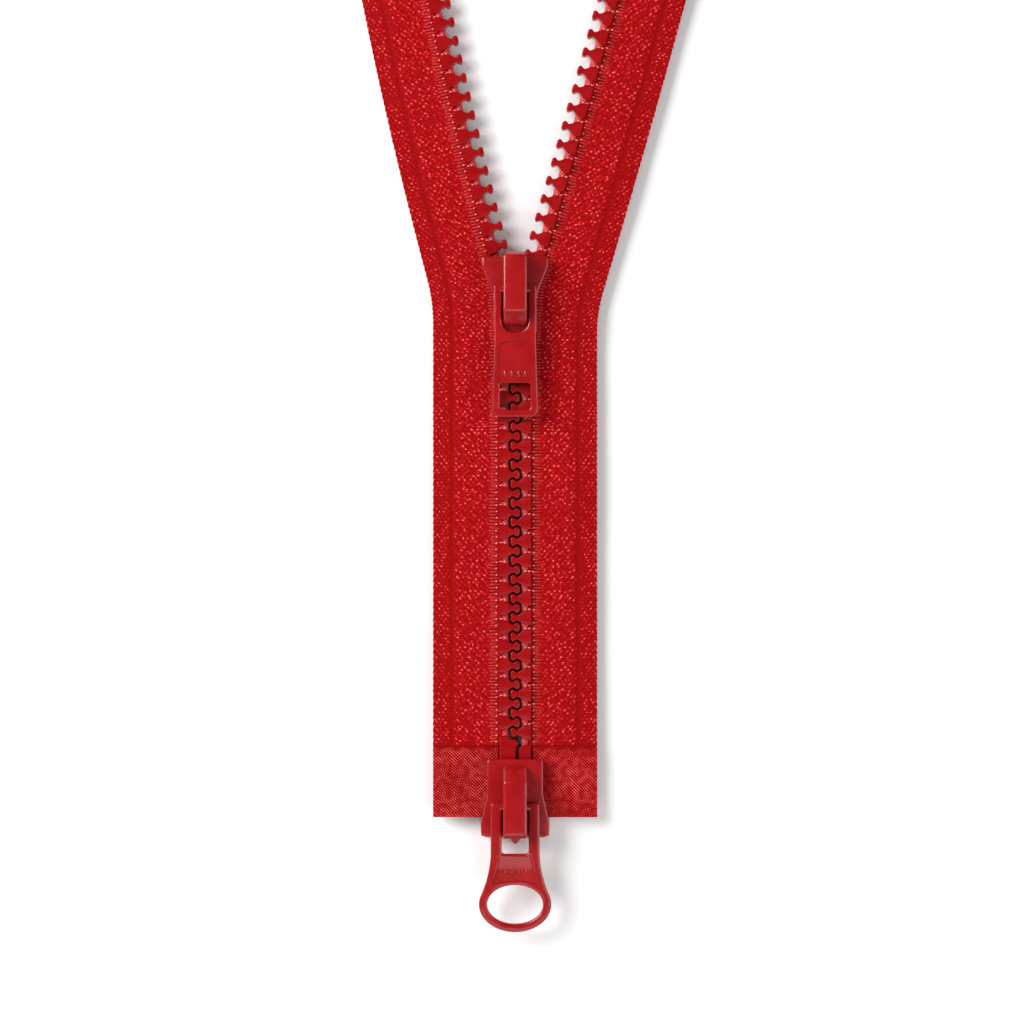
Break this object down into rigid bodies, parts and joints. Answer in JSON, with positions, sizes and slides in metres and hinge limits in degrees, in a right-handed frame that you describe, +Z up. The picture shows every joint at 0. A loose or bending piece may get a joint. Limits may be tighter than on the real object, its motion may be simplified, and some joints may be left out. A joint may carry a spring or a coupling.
{
  "type": "zipper",
  "caption": "Two-way separating zipper with moulded teeth, two locking sliders with long pulls, parted at the top and film-stiffened at the lower end.",
  "frame": {"origin": "centre of the lower slider's flat underside, on the chain's centre line and on the surface the zipper lies on", "axes": "+Y along the closed chain towards the open legs, +Z up out of the zipper's face, +X to the right"},
  "size_m": [0.0751, 0.2129, 0.0094],
  "materials": {
    "woven_tape": "woven polyester, dyed",
    "bead_cord": "braided polyester cord",
    "moulded_teeth": "moulded acetal",
    "end_film": "welded film over the tape",
    "slider_paint": "gloss enamel on die-cast zinc",
    "pull_paint": "gloss enamel on die-cast zinc",
    "spring_steel": "bright rolled strip"
  },
  "bodies": {
    "closed_chain": {"left_tape_mid": "woven_tape", "right_tape_mid": "woven_tape", "left_cord_mid": "bead_cord", "right_cord_mid": "bead_cord", "left_teeth_mid": "moulded_teeth", "right_teeth_mid": "moulded_teeth"},
    "left_run": {"left_tape_run": "woven_tape", "left_cord_run": "bead_cord", "left_teeth_run": "moulded_teeth"},
    "left_leg": {"left_tape_leg": "woven_tape", "left_cord_leg": "bead_cord", "left_teeth_leg": "moulded_teeth", "left_top_stop": "moulded_teeth"},
    "left_end": {"left_tape_end": "woven_tape", "left_cord_end": "bead_cord", "left_film_front": "end_film", "left_film_back": "end_film", "retaining_pin": "moulded_teeth"},
    "right_run": {"right_tape_run": "woven_tape", "right_cord_run": "bead_cord", "right_teeth_run": "moulded_teeth"},
    "right_leg": {"right_tape_leg": "woven_tape", "right_cord_leg": "bead_cord", "right_teeth_leg": "moulded_teeth", "right_top_stop": "moulded_teeth"},
    "right_end": {"right_tape_end": "woven_tape", "right_cord_end": "bead_cord", "right_film_front": "end_film", "right_film_back": "end_film", "insertion_pin": "moulded_teeth"},
    "upper_slider": {"upper_slider_body": "slider_paint", "upper_crown": "slider_paint"},
    "upper_pull_tab": {"upper_pull": "pull_paint"},
    "upper_lock": {"upper_lock_spring": "spring_steel"},
    "lower_slider": {"lower_slider_body": "slider_paint", "lower_crown": "slider_paint"},
    "lower_pull_tab": {"lower_pull": "pull_paint"},
    "lower_lock": {"lower_lock_spring": "spring_steel"}
  },
  "joints": [
    {"name": "upper_slide", "type": "slide", "parent": "closed_chain", "child": "upper_slider", "axis": [0, 1, 0], "range_m": [-0.0441, 0]},
    {"name": "left_unzip", "type": "hinge", "parent": "closed_chain", "child": "left_run", "pos_m": [-0.00185, 0.05299, 0.00265], "axis": [0, 0, 1], "range_deg": [0, 14.61], "deforming": ["left_tape_run", "left_cord_run", "left_teeth_run"]},
    {"name": "left_leg_turn", "type": "hinge", "parent": "left_run", "child": "left_leg", "pos_m": [-0.00185, 0.09709, 0.00265], "axis": [0, 0, 1], "range_deg": [-14.61, 0]},
    {"name": "right_unzip", "type": "hinge", "parent": "closed_chain", "child": "right_run", "pos_m": [0.00185, 0.05115, 0.00265], "axis": [0, 0, 1], "range_deg": [-16.41, 0], "deforming": ["right_tape_run", "right_cord_run", "right_teeth_run"]},
    {"name": "right_leg_turn", "type": "hinge", "parent": "right_run", "child": "right_leg", "pos_m": [0.00185, 0.09525, 0.00265], "axis": [0, 0, 1], "range_deg": [0, 16.41]},
    {"name": "lower_slide", "type": "slide", "parent": "closed_chain", "child": "lower_slider", "axis": [0, 1, 0], "range_m": [0, 0.004]},
    {"name": "left_end_spread", "type": "hinge", "parent": "closed_chain", "child": "left_end", "pos_m": [-0.00185, 0.01254, 0.00265], "axis": [0, 0, 1], "range_deg": [-4.2, 0], "deforming": ["left_tape_end", "left_cord_end"]},
    {"name": "right_end_spread", "type": "hinge", "parent": "closed_chain", "child": "right_end", "pos_m": [0.00185, 0.0107, 0.00265], "axis": [0, 0, 1], "range_deg": [0, 4.2], "deforming": ["right_tape_end", "right_cord_end"]},
    {"name": "upper_pull_flip", "type": "hinge", "parent": "upper_slider", "child": "upper_pull_tab", "pos_m": [0, 0.0976, 0.00655], "axis": [-1, 0, 0], "range_deg": [0, 184]},
    {"name": "upper_lock_lift", "type": "hinge", "parent": "upper_slider", "child": "upper_lock", "pos_m": [0, 0.1025, 0.00755], "axis": [-1, 0, 0], "range_deg": [0, 5], "stiffness_Nm_per_rad": 0.02, "springref_deg": -2.86},
    {"name": "lower_pull_flip", "type": "hinge", "parent": "lower_slider", "child": "lower_pull_tab", "pos_m": [0, -0.0015, 0.00655], "axis": [-1, 0, 0], "range_deg": [0, 187]},
    {"name": "lower_lock_lift", "type": "hinge", "parent": "lower_slider", "child": "lower_lock", "pos_m": [0, -0.0052, 0.00755], "axis": [1, 0, 0], "range_deg": [0, 5], "stiffness_Nm_per_rad": 0.02, "springref_deg": -2.86}
  ],
  "couplings": [
    {"joint": "left_unzip", "follows": "upper_slide", "rad_per_m": -5.7782},
    {"joint": "left_leg_turn", "follows": "upper_slide", "rad_per_m": 5.7782},
    {"joint": "right_unzip", "follows": "upper_slide", "rad_per_m": 6.4906},
    {"joint": "right_leg_turn", "follows": "upper_slide", "rad_per_m": -6.4906},
    {"joint": "left_end_spread", "follows": "lower_slide", "rad_per_m": -18.326},
    {"joint": "right_end_spread", "follows": "lower_slide", "rad_per_m": 18.326}
  ]
}
